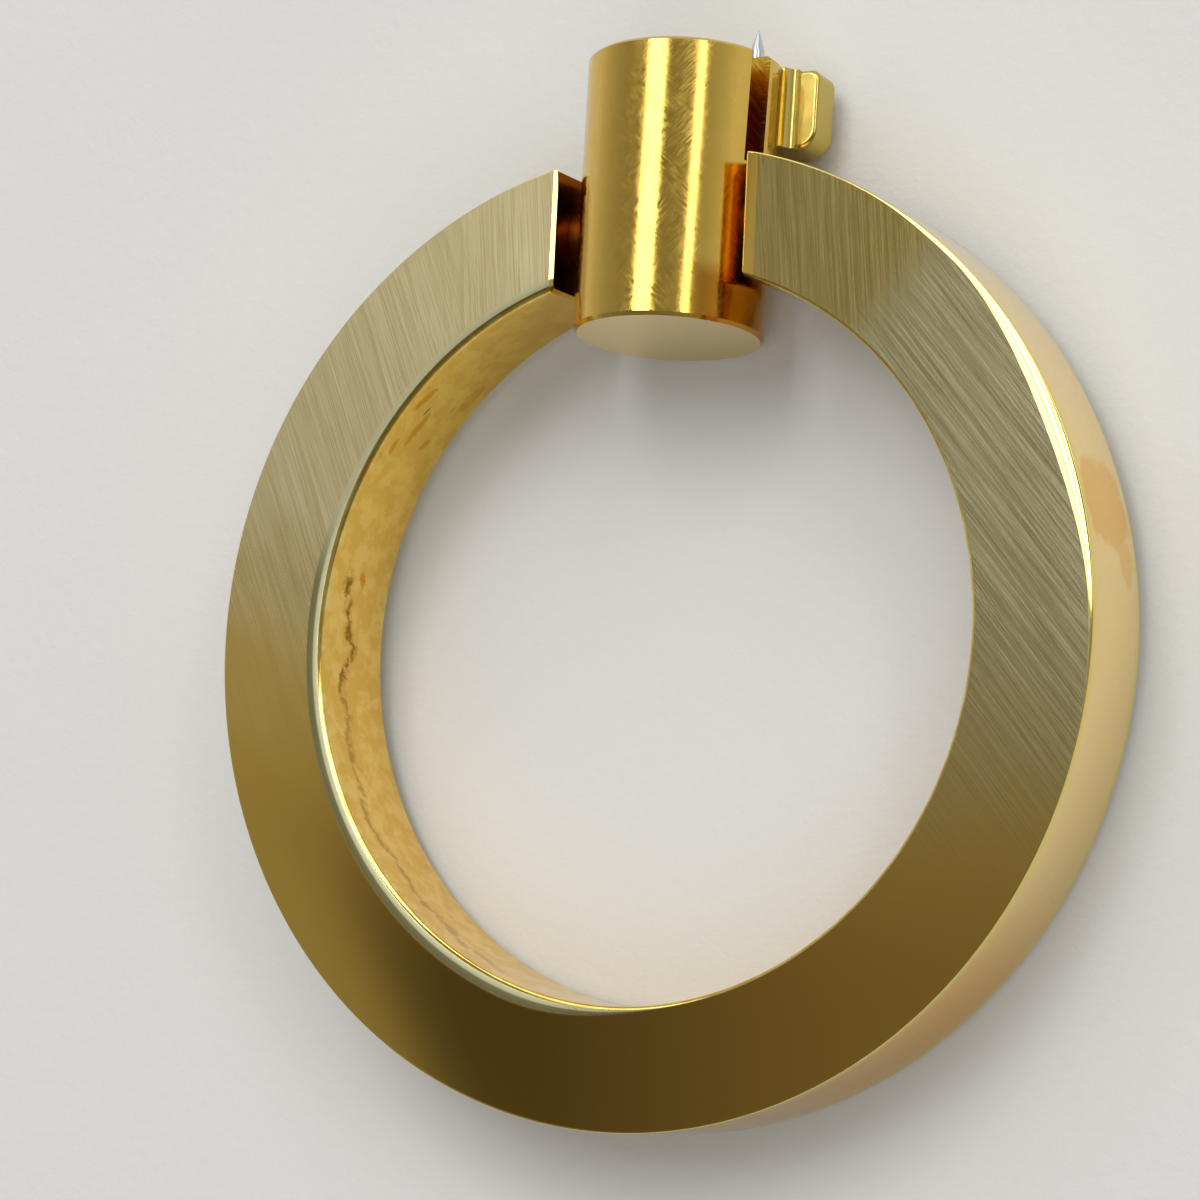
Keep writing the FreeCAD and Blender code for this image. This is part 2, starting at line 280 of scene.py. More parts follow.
def make_post_finish():
    material, tree, shader, place = metal_material("post_brass", POST_BRASS, 0.1)
    across, along, up = xyz(tree, place)
    normal = node(tree, "ShaderNodeTexCoord").outputs["Normal"]
    facing = maths(tree, "ABSOLUTE", xyz(tree, normal)[1])
    end_face = step_between(tree, facing, 0.75, 0.9)

    unrolled = rolled_out(tree, place, POST_BACK_RADIUS)
    cloudy = blob_noise(tree, unrolled, 300.0, 3.0, 0.6)
    laps = []
    for angle in LAP_ANGLES:
        marks = placed_group(tree, HAND_MARKS, Place=unrolled, Turn=angle,
                             Spacing=LAP_SPACING, Length=LAP_LENGTH)["Marks"]
        laps.append(step_between(tree, marks, 0.42, 0.64))
    lapped = spread(tree, step_between(tree, cloudy, 0.42, 0.58), laps[0], laps[1])

    radius = maths(tree, "SQRT", maths(
        tree, "ADD", maths(tree, "MULTIPLY", across, across), maths(tree, "MULTIPLY", up, up)))
    side_radius = maths(tree, "MULTIPLY_ADD", along, POST_TAPER, POST_BACK_RADIUS)
    inside = step_between(tree, maths(tree, "SUBTRACT", side_radius, radius), 0.3 * MM, 0.5 * MM)
    in_groove = maths(tree, "MULTIPLY", inside, maths(tree, "SUBTRACT", 1.0, end_face))
    folded = node(tree, "ShaderNodeCombineXYZ")
    feed(tree, folded.inputs["X"], maths(tree, "SUBTRACT", across, up))
    feed(tree, folded.inputs["Y"], along)
    filing = placed_group(tree, HAND_MARKS, Place=folded.outputs["Vector"], Turn=FILE_ANGLE,
                          Spacing=FILE_SPACING, Length=FILE_LENGTH)["Marks"]
    filing = step_between(tree, filing, 0.4, 0.6)
    # Painted shade: brown deeper down the groove towards the ring, a little all along, broken up by
    # the file marks.
    groove_shade = step_between(tree, along, GROOVE_UNSHADED_TO, GROOVE_SHADE_FROM)
    groove_shade = maths(tree, "ADD", groove_shade, 0.3)
    groove_shade = maths(tree, "MULTIPLY", groove_shade, spread(tree, filing, 1.4, 0.3), clamp=True)
    groove_colour = blend_colours(tree, groove_shade, GROOVE_BRASS, GROOVE_SHADE_BROWN)

    end_marks = node(tree, "ShaderNodeCombineXYZ")
    feed(tree, end_marks.inputs["X"], across)
    feed(tree, end_marks.inputs["Y"], up)
    facing_marks = placed_group(tree, HAND_MARKS, Place=end_marks.outputs["Vector"],
                                Turn=END_MARKS_ANGLE, Spacing=END_MARKS_SPACING,
                                Length=END_MARKS_LENGTH)["Marks"]

    colour = blend_colours(tree, cloudy, POST_BRASS, POST_BRASS_PALE)
    # Painted reflection of the ring's shaded end, in orange on the front right of the side.
    reflected_orange = maths(tree, "MULTIPLY", step_between(tree, across, *REFLECTION_ACROSS),
                   step_between(tree, along, *REFLECTION_ALONG))
    reflected_orange = maths(tree, "MULTIPLY", reflected_orange, REFLECTION_SHARE)
    colour = blend_colours(tree, reflected_orange, colour, REFLECTED_ORANGE_BRASS)
    colour = blend_colours(tree, end_face, colour, SATIN_BRASS)
    colour = blend_colours(tree, in_groove, colour, groove_colour)
    feed(tree, shader.inputs["Base Color"], colour)

    side_rough = maths(tree, "MAXIMUM", spread(tree, lapped, *POST_ROUGHNESS),
                       maths(tree, "MULTIPLY", in_groove, GROOVE_ROUGHNESS))
    end_rough = spread(tree, facing_marks, *END_ROUGHNESS)
    feed(tree, shader.inputs["Roughness"], float_mix(tree, end_face, side_rough, end_rough))

    side_height = maths(tree, "MULTIPLY", lapped, maths(tree, "SUBTRACT", 1.0, in_groove))
    groove_height = maths(tree, "MULTIPLY", filing, in_groove)
    groove_height = maths(tree, "MULTIPLY", groove_height, FILE_DEPTH_RATIO)
    height = maths(tree, "ADD", side_height, groove_height)
    feed(tree, shader.inputs["Normal"], bump(tree, height, LAP_DEPTH))
    return material


post = frame["nodes"]["post"]
wear(post, make_post_finish())


# PIVOT PIN
# Drawn brass rod, pressed through the post's cross bore. It stands out on both sides, and
# the ring turns on its two ends.

# Painted shade: the pin lies in the dark gaps beside the post, so its brass is painted a dark brown.
PIN_SHADED_BRASS = (0.26, 0.08, 0.012, 1.0)
pin_finish, pin_tree, pin_shader, pin_place = metal_material("pin_brass", PIN_SHADED_BRASS, 0.35)
pin_marks = placed_group(pin_tree, HAND_MARKS, Place=pin_place, Turn=0.0,
                         Spacing=3.0 * MM, Length=0.15 * MM)["Marks"]
feed(pin_tree, pin_shader.inputs["Roughness"], spread(pin_tree, pin_marks, 0.3, 0.45))
pin = frame["nodes"]["pivot_pin"]
wear(pin, pin_finish)


# LOCATING SPIKE
# A bright steel point, pressed into the post's mounting face. It bites into the wood
# beside the screw and stops the post from turning.

STEEL = (0.62, 0.64, 0.65, 1.0)
SPIKE_MARK_DEPTH = 0.003 * MM
spike_finish, spike_tree, spike_shader, spike_place = metal_material("spike_steel", STEEL, 0.2)
spike_marks = placed_group(spike_tree, HAND_MARKS, Place=spike_place, Turn=0.0,
                           Spacing=1.0 * MM, Length=0.06 * MM)["Marks"]
feed(spike_tree, spike_shader.inputs["Roughness"], spread(spike_tree, spike_marks, 0.14, 0.34))
feed(spike_tree, spike_shader.inputs["Normal"], bump(spike_tree, spike_marks, SPIKE_MARK_DEPTH))
spike = frame["nodes"]["locating_spike"]
wear(spike, spike_finish)


# SIDE LUG
# A small brass block, brazed to the post's side and buffed bright with it. The buffing
# has left its face a little wavy and its edges soft.

LUG_BRASS = (0.60, 0.46, 0.115, 1.0)
LUG_LEAN = 0.075
LUG_WAVE_DEPTH = 0.04 * MM
LUG_GRAIN_DEPTH = 0.0001 * MM
LUG_ROUGHNESS = (0.18, 0.24)
lug_finish, lug_tree, lug_shader, lug_place = metal_material("lug_brass", LUG_BRASS, 0.12)
lug_waves = blob_noise(lug_tree, lug_place, 330.0, 1.0)
lug_grain = blob_noise(lug_tree, lug_place, 3500.0, 2.0)
feed(lug_tree, lug_shader.inputs["Roughness"], spread(lug_tree, lug_grain, *LUG_ROUGHNESS))
lug_across = xyz(lug_tree, lug_place)[0]
lug_slope = maths(lug_tree, "MULTIPLY", lug_across, -LUG_LEAN)
lug_height = maths(lug_tree, "MULTIPLY_ADD", lug_waves, LUG_WAVE_DEPTH, lug_slope)
lug_normal = bump(lug_tree, lug_height, 1.0)
lug_normal = bump(lug_tree, lug_grain, LUG_GRAIN_DEPTH, lug_normal)
feed(lug_tree, lug_shader.inputs["Normal"], lug_normal)
lug = frame["nodes"]["side_lug"]
wear(lug, lug_finish)


# RING
# A heavy flat ring, turned from brass, sawn open for the post and bored for the pin.
# Its faces are brushed by hand, and buffing has softened all their edges.

RING_RADIUS = 40.0 * MM
RING_BAND = 10.0 * MM
HOLE_RADIUS = RING_RADIUS - RING_BAND
RING_THICKNESS = 9.5 * MM
RING_END = 8.86 * MM
RING_BORE_RADIUS = 2.45 * MM
RING_BORE_DEPTH = 5.2 * MM
RING_BORE_SIDES = 40
# The sawn ends and their bores lie nearer than this to the post's middle plane.
SAWN_DEPTH = 14.5 * MM
# The outer edge is buffed round in one place: degrees from the post towards the right,
# degrees to each side, and width.
BUFFED_MIDDLE = 67.0
BUFFED_REACH = 23.0
BUFFED_WIDTH = 0.9 * MM
BROKEN_WIDTH = 0.26 * MM
OUTER_WIDTH = 0.02 * MM
OUTER_LEAN = (math.radians(6), math.radians(14))
OUTER_TIGHT = 0.11 * MM
# The inner edge is rubbed down by hand on the left, and only just broken on the right.
RUBBED_LEAN = (math.radians(0.5), math.radians(7))
ROLLED_LEAN = (math.radians(7), math.radians(16))
CREASE_SUPPORT = 0.06 * MM
EASE_STEPS = 6
TIGHT_STEPS = 7
FLAT_STEPS = 6
WALL_STEPS = 4
RING_COLUMNS = 300
# Distance from each sawn end, and how far the surface is eased back there.
RIGHT_EASING = [(0.0, 0.20), (0.03, 0.12), (0.09, 0.06), (0.2, 0.035), (0.5, 0.018), (0.8, 0.0)]
LEFT_EASING = [(0.0, 0.21), (0.27, 0.0), (0.35, 0.0), (0.8, 0.0)]

RIGHT_END = 15.0
LEFT_END = 345.0
pivot = Vector(frame["joints"][0]["pos_m"])
pivot_to_centre = math.sqrt((RING_RADIUS - RING_BAND / 2) ** 2 - RING_END ** 2)
ring_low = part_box("ring")[0]
reach = math.hypot(pivot_to_centre + RING_RADIUS, RING_THICKNESS / 2)
RING_DROOP = math.asin(-ring_low.z / reach) - math.asin(RING_THICKNESS / 2 / reach)


def soft_edge(stages, tight):
    """Points from a flat face round to a wall, as (in from the corner, down).

    Each stage has a width and the two leans it runs between; a tight corner ends it."""
    last = stages[-1][2]
    run = sum(width for width, _, _ in stages) + tight * (1 - math.sin(last))
    down = 0.0
    points = [(run + CREASE_SUPPORT, 0.0)]
    for width, first, last in stages:
        radius = width / (math.sin(last) - math.sin(first))
        for i in range(EASE_STEPS):
            turn = first + (last - first) * i / EASE_STEPS
            points.append((run - radius * (math.sin(turn) - math.sin(first)),
                           down + radius * (math.cos(first) - math.cos(turn))))
        run -= width
        down += radius * (math.cos(first) - math.cos(last))
    for i in range(TIGHT_STEPS + 1):
        turn = last + (math.pi / 2 - last) * i / TIGHT_STEPS
        points.append((tight * (1 - math.sin(turn)), down + tight * (math.cos(last) - math.cos(turn))))
    return points


def smooth_step(value, low, high):
    share = min(max((value - low) / (high - low), 0.0), 1.0)
    return share * share * (3 - 2 * share)


def outer_edge(degrees):
    """The outer edge at an angle from the post towards the right."""
    away = min(abs(degrees - BUFFED_MIDDLE) / BUFFED_REACH, 1.0)
    broken = smooth_step(degrees, 30, 42) * (1 - smooth_step(degrees, 86, 100))
    width = OUTER_WIDTH + BUFFED_WIDTH * (1 - away ** 2) ** 2 + BROKEN_WIDTH * broken
    return soft_edge([(width, *OUTER_LEAN)], OUTER_TIGHT)


def inner_edge(degrees):
    """The inner edge: rubbed flat and rolled over on the left, rounder near the post."""
    left = smooth_step(degrees, 168, 200)
    near_post = smooth_step(degrees, 280, 305)
    rubbed = (0.02 + left * (1.0 - 0.4 * near_post)) * MM
    rolled = (0.02 + left * (0.36 - 0.3 * near_post)) * MM
    tight = (0.42 - left * (0.22 - 0.33 * near_post)) * MM
    return soft_edge([(rubbed, *RUBBED_LEAN), (rolled, *ROLLED_LEAN)], tight)


def ring_section(degrees):
    """The ring's section at an angle, as (radius, height) pairs round the solid."""
    half = RING_THICKNESS / 2
    outer = [(RING_RADIUS - run, half - down) for run, down in outer_edge(degrees)]
    inner = [(HOLE_RADIUS + run, half - down) for run, down in inner_edge(degrees)]
    top = inner[::-1]
    for i in range(1, FLAT_STEPS):
        share = i / FLAT_STEPS
        top.append((inner[0][0] + share * (outer[0][0] - inner[0][0]), half))
    top += outer
    bottom = [(radius, -height) for radius, height in reversed(top)]
    section = top
    for i in range(1, WALL_STEPS):
        section.append((RING_RADIUS, outer[-1][1] * (1 - 2 * i / WALL_STEPS)))
    section += bottom
    for i in range(1, WALL_STEPS):
        section.append((HOLE_RADIUS, -inner[-1][1] * (1 - 2 * i / WALL_STEPS)))
    return section


def eased_in(section, amount):
    """The section with every point moved in by the amount, square to its edge."""
    count = len(section)
    moved = []
    for i, (radius, height) in enumerate(section):
        before, after = section[i - 1], section[(i + 1) % count]
        along = Vector((after[0] - before[0], after[1] - before[1])).normalized()
        moved.append((radius + along.y * amount, height - along.x * amount))
    return moved


def ring_columns():
    """Points of each column of the ring, from the right-hand end round to the left."""
    last_plane = RING_END + RIGHT_EASING[-1][0] * MM
    placed = []
    for distance, amount in RIGHT_EASING:
        plane = RING_END + distance * MM
        placed.append([(math.asin(plane / radius), radius, height)
                       for radius, height in eased_in(ring_section(RIGHT_END), amount * MM)])
    for i in range(1, RING_COLUMNS):
        share = i / RING_COLUMNS
        column = []
        for radius, height in ring_section(RIGHT_END + share * (LEFT_END - RIGHT_END)):
            start = math.asin(last_plane / radius)
            column.append((start + share * (2 * math.pi - 2 * start), radius, height))
        placed.append(column)
    for distance, amount in reversed(LEFT_EASING):
        plane = RING_END + distance * MM
        placed.append([(2 * math.pi - math.asin(plane / radius), radius, height)
                       for radius, height in eased_in(ring_section(LEFT_END), amount * MM)])
    return placed


def close_end(mesh, outline, inward):
    """Close a sawn end, with the blind bore for the pin in it."""
    plane = outline[0].co.x
    rim = []
    for i in range(RING_BORE_SIDES):
        turn = 2 * math.pi * i / RING_BORE_SIDES
        rim.append(mesh.verts.new((plane, pivot_to_centre + RING_BORE_RADIUS * math.cos(turn),
                                   RING_BORE_RADIUS * math.sin(turn))))
    edges = []
    for loop in (outline, rim):
        for i, vert in enumerate(loop):
            pair = (vert, loop[(i + 1) % len(loop)])
            edges.append(mesh.edges.get(pair) or mesh.edges.new(pair))
    bmesh.ops.triangle_fill(mesh, edges=edges, use_beauty=True, use_dissolve=False)
    deeper = Vector((inward * RING_BORE_DEPTH, 0, 0))
    floor = [mesh.verts.new(vert.co + deeper) for vert in rim]
    for i in range(RING_BORE_SIDES):
        after = (i + 1) % RING_BORE_SIDES
        mesh.faces.new((rim[i], rim[after], floor[after], floor[i]))
    mesh.faces.new(floor)


def make_ring_piece():
    mesh = bmesh.new()
    columns = []
    for column in ring_columns():
        columns.append([
            mesh.verts.new((radius * math.sin(angle), radius * math.cos(angle), height))
            for angle, radius, height in column])
    for first, second in zip(columns, columns[1:]):
        for i in range(len(first)):
            after = (i + 1) % len(first)
            mesh.faces.new((first[i], first[after], second[after], second[i]))
    close_end(mesh, columns[0], 1.0)
    close_end(mesh, columns[-1], -1.0)
    bmesh.ops.recalc_face_normals(mesh, faces=mesh.faces)
    for face in mesh.faces:
        middle = face.calc_center_median()
        sawn = abs(face.normal.x) > 0.999 and abs(middle.x) < SAWN_DEPTH
        bevel = middle.y > 0 and 0 < -middle.x - RING_END < LEFT_EASING[1][0] * MM
        face.smooth = not (sawn or bevel)
    data = bpy.data.meshes.new("brushed_ring")
    mesh.to_mesh(data)
    mesh.free()
    piece = bpy.data.objects.new("brushed_ring", data)
    scene.collection.objects.link(piece)
    piece.rotation_euler.x = RING_DROOP
    piece.location = pivot - Vector((0, pivot_to_centre * math.cos(RING_DROOP),
                                     pivot_to_centre * math.sin(RING_DROOP)))
    return piece


# The brushed face is painted in lit and shaded copies of one brass: the face colours are the lighter
# copy on the left, and the end and side colours are painted shade by the right-hand end and down the
# right side. Each runs from deep to pale along the strokes.
FACE_BRASS_DEEP = (0.75, 0.61, 0.29, 1.0)
FACE_BRASS_PALE = (0.95, 0.82, 0.48, 1.0)
SIDE_FACE_SHADE_DEEP = (0.53, 0.47, 0.23, 1.0)
SIDE_FACE_SHADE_PALE = (0.77, 0.70, 0.41, 1.0)
END_FACE_SHADE_DEEP = (0.49, 0.36, 0.11, 1.0)
END_FACE_SHADE_PALE = (0.66, 0.51, 0.19, 1.0)
# Painted reflection on the rubbed strip of the inner edge: a pale grey-green sheen and a dark band.
RUBBED_EDGE_SHEEN = (0.82, 0.78, 0.46, 1.0)
RUBBED_EDGE_DARK_REFLECTION = (0.33, 0.30, 0.14, 1.0)
SAWN_BRASS = (0.74, 0.42, 0.07, 1.0)
# Painted shade: the left sawn end, in the dark gap, is a darker copy of the sawn brass.
SAWN_BRASS_SHADED = (0.30, 0.10, 0.015, 1.0)
POLISHED_BRASS = (0.92, 0.61, 0.125, 1.0)
# Painted highlight: the paler brass of the leaning edges.
EDGE_HIGHLIGHT_BRASS = (0.88, 0.70, 0.20, 1.0)
OUTER_BRASS = (0.92, 0.69, 0.30, 1.0)
INNER_BRASS = (0.92, 0.62, 0.17, 1.0)
INNER_BRASS_DEEP = (0.90, 0.60, 0.10, 1.0)
# Painted reflection: the orange of the shaded paper seen in the outer wall.
REFLECTED_WALL_ORANGE = (0.86, 0.50, 0.11, 1.0)
STAIN_ORANGE = (0.69, 0.33, 0.012, 1.0)
STAIN_BROWN = (0.34, 0.17, 0.012, 1.0)
STAIN_TAN = (0.76, 0.46, 0.07, 1.0)
LEFT_STROKES = math.radians(-23)
END_STROKES = math.radians(-6)
RIGHT_STROKES = math.radians(-39)
STROKE_SPACING = 0.10 * MM
STROKE_LENGTH = 9.0 * MM
STROKE_DEPTH = 0.0012 * MM
# How much of the strokes' depth shows as bump, on the left and on the right.
STROKE_SHARES = (0.12, 0.4)
POLISHED_ROUGHNESS = 0.07
LEFT_ROUGHNESS = (0.29, 0.36)
RIGHT_ROUGHNESS = (0.15, 0.21)
SAWN_ROUGHNESS = 0.2
# The brushing ends where the face leans 11 degrees inwards, or 4 degrees outwards.
INNER_FACE_FLATNESS = 0.980
OUTER_FACE_FLATNESS = 0.9965
# Drops of old flux on the left inner wall: degrees round from the left-hand side,
# height above the middle, half length, half width (mm), turn (degrees), how dark.
FLUX_SPOTS = [
    (43.2, 2.91, 1.25, 0.36, -17, 0.95), (37.8, 1.14, 1.40, 0.34, -10, 0.9),
    (35.3, -1.20, 0.62, 0.30, -28, 0.8), (33.5, 2.77, 0.70, 0.24, 0, 0.9),
    (42.3, 4.20, 0.42, 0.10, 8, 0.5), (45.1, 3.66, 0.26, 0.16, -8, 0.5),
    (42.8, -1.53, 0.32, 0.16, -17, 0.4), (31.5, 3.80, 0.26, 0.14, 20, 0.6),
    (45.8, -2.69, 1.30, 0.60, -4, 0.5), (36.0, -4.01, 0.32, 0.16, 0, 0.4),
    (37.4, 3.03, 0.55, 0.10, 32, 0.3), (10.9, -0.26, 0.66, 0.30, 21, 0.95),
]
SAW_SLIT = (41.1, 1.54, 0.45, 0.10, -11, 1.0)
# Painted reflection: patches where the outer wall is painted more orange, as it reflects
# the shaded paper, by the same measures; the degrees run round from the right-hand side.
REFLECTION_PATCHES = [(14.0, 0.2, 3.6, 3.6, 60, 0.9), (8.0, -2.3, 2.0, 1.2, 10, 0.6),
                  (-50.0, -0.4, 3.4, 1.8, 8, 0.95), (-60.0, -0.9, 3.4, 1.7, 8, 0.95)]
# How much of that painted orange reflection covers the low part of the outer wall.
LOW_REFLECTION_SHARE = 0.85
# A dried run along the wall: degrees round from the left-hand side, and its height (mm).
DRIED_RUN = [(-72, 1.8), (-66, 2.2), (-61, 1.3), (-58, 2.1), (-53, 1.0), (-46, 1.5), (-40, 1.0),
             (-30, 2.3), (-26.6, 1.7), (-23, 1.4), (-16.5, 1.5), (-12, 1.1), (-8.7, 1.6), (-4.5, 1.2),
             (-0.5, -0.2), (0.9, 0.7), (2.7, 0.7), (6, 1.1), (8.1, 1.6), (10.6, 1.7)]
DRIED_RUN_REACH = 75.0
DRIED_RUN_SPAN = 20.0


def spot(tree, wall_place, wall_radius, ragged, where):
    """One elongated drop on an unrolled wall, with a ragged edge."""
    degrees, height, half_length, half_width, turn, share = where
    middle = (math.radians(degrees) * wall_radius, height * MM, 0.0)
    shifted = node(tree, "ShaderNodeVectorMath", operation="SUBTRACT")
    feed(tree, shifted.inputs[0], wall_place)
    shifted.inputs[1].default_value = middle
    turned = node(tree, "ShaderNodeVectorRotate", rotation_type="Z_AXIS")
    feed(tree, turned.inputs["Vector"], shifted.outputs["Vector"])
    turned.inputs["Angle"].default_value = -math.radians(turn)
    scaled = node(tree, "ShaderNodeVectorMath", operation="DIVIDE")
    feed(tree, scaled.inputs[0], turned.outputs["Vector"])
    scaled.inputs[1].default_value = (half_length * MM, half_width * MM, 1.0)
    far = node(tree, "ShaderNodeVectorMath", operation="LENGTH")
    feed(tree, far.inputs[0], scaled.outputs["Vector"])
    edge = maths(tree, "ADD", far.outputs["Value"], ragged)
    return maths(tree, "MULTIPLY", step_between(tree, edge, 1.3, 0.95), share)


def dried_run(tree, wall_place):
    """Height of the dried run above the wall's middle, in metres."""
    made = node(tree, "ShaderNodeFloatCurve")
    round_wall = xyz(tree, wall_place)[0]
    reach = math.radians(DRIED_RUN_REACH) * HOLE_RADIUS
    feed(tree, made.inputs["Value"], maths(tree, "MULTIPLY_ADD", round_wall, 0.5 / reach, 0.5))
    curve = made.mapping.curves[0]
    points = [(0.5 + degrees / DRIED_RUN_REACH / 2, 0.5 + height / DRIED_RUN_SPAN)
              for degrees, height in DRIED_RUN]
    curve.points[0].location = points[0]
    curve.points[1].location = points[-1]
    for point in points[1:-1]:
        curve.points.new(*point)
    made.mapping.update()
    return maths(tree, "MULTIPLY_ADD", made.outputs["Value"], DRIED_RUN_SPAN * MM,
                 -DRIED_RUN_SPAN / 2 * MM)


def unrolled_wall(tree, along, outwards, up, wall_radius):
    """X round a wall in metres, from where it faces outwards, and Y up it."""
    made = node(tree, "ShaderNodeCombineXYZ")
    feed(tree, made.inputs["X"], maths(
        tree, "MULTIPLY", maths(tree, "ARCTAN2", along, outwards), wall_radius))
    feed(tree, made.inputs["Y"], up)
    return made.outputs["Vector"]


def painted_reflection_patches(tree, place, across, along, up):
    # Painted reflection: a mask of where the outer wall is painted orange, on its low part and in
    # patches.
    wall_place = unrolled_wall(tree, along, across, up, RING_RADIUS)
    ragged = spread(tree, blob_noise(tree, place, 260.0, 3.0, 0.6), -0.8, 0.8)
    reflected_orange = maths(tree, "MULTIPLY", step_between(tree, along, -18 * MM, -30 * MM), LOW_REFLECTION_SHARE)
    for where in REFLECTION_PATCHES:
        reflected_orange = maths(tree, "MAXIMUM", reflected_orange, spot(tree, wall_place, RING_RADIUS, ragged, where))
    return reflected_orange


def wall_stains(tree, place, across, along, up):
    """Masks of the left inner wall's stains: orange drops, and brown."""
    wall_place = unrolled_wall(tree, along, maths(tree, "MULTIPLY", across, -1.0), up, HOLE_RADIUS)
    round_wall = xyz(tree, wall_place)[0]
    ragged = spread(tree, blob_noise(tree, place, 2200.0, 3.0, 0.6), -0.9, 0.9)
    orange = 0.0
    for where in FLUX_SPOTS:
        orange = maths(tree, "MAXIMUM", orange, spot(tree, wall_place, HOLE_RADIUS, ragged, where))
    slit = spot(tree, wall_place, HOLE_RADIUS, 0.0, SAW_SLIT)

    wobble = spread(tree, blob_noise(tree, place, 900.0, 4.0, 0.7), -1.3 * MM, 1.3 * MM)
    off_run = maths(tree, "ADD", maths(tree, "SUBTRACT", up, dried_run(tree, wall_place)), wobble)
    off_run = maths(tree, "ABSOLUTE", off_run)
    run = maths(tree, "MULTIPLY", step_between(tree, off_run, 0.8 * MM, 0.3 * MM), 0.5)
    run = maths(tree, "MAXIMUM", run, step_between(tree, off_run, 0.5 * MM, 0.2 * MM))
    degree = math.radians(1.0) * HOLE_RADIUS
    in_run = maths(tree, "MULTIPLY", step_between(tree, round_wall, -74 * degree, -66 * degree),
                   step_between(tree, round_wall, 13 * degree, 10 * degree))
    broken = step_between(tree, blob_noise(tree, place, 1100.0, 3.0, 0.6), 0.3, 0.52)
    thickness = spread(tree, step_between(tree, round_wall, -12 * degree, -4 * degree), 0.6, 1.0)
    brown = maths(tree, "MULTIPLY", maths(tree, "MULTIPLY", run, in_run), broken)
    brown = maths(tree, "MULTIPLY", brown, thickness)
    return orange, maths(tree, "MAXIMUM", brown, slit)


